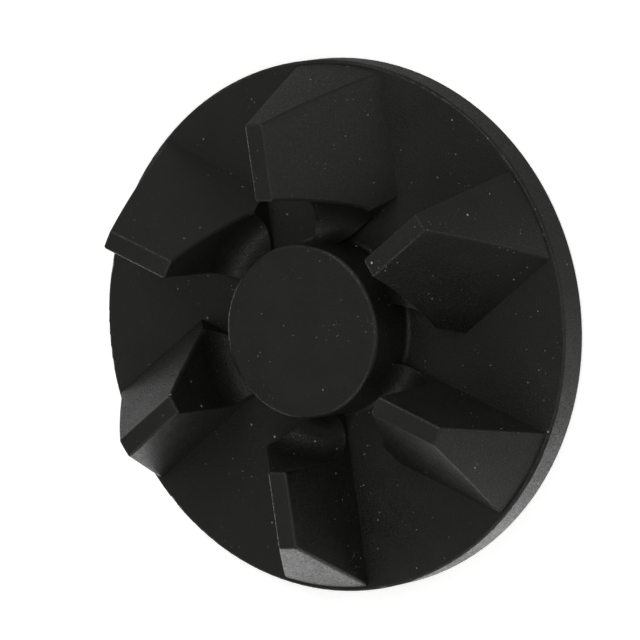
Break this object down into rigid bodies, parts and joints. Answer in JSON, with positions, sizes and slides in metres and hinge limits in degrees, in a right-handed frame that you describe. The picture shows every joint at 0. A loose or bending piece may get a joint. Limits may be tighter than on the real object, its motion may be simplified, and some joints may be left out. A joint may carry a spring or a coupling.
{
  "type": "jaw coupling half",
  "caption": "Round rubber drive coupling half with sloped face jaws around a closed centre boss, a steel back plate and a threaded bush.",
  "frame": {"origin": "centre of the flat back face", "axes": "+Z along the axis of rotation, from the back face towards the jaw tips; +Y along the driving flank of the first jaw"},
  "size_m": [0.045, 0.045, 0.0131],
  "materials": {
    "rubber": "matt moulded, fine grain",
    "bush_steel": "turned, bright zinc plated",
    "plate_steel": "stamped, satin zinc plated"
  },
  "bodies": {
    "root": {"jaw_disc": "rubber", "threaded_bush": "bush_steel", "torque_plate": "plate_steel"}
  },
  "joints": []
}
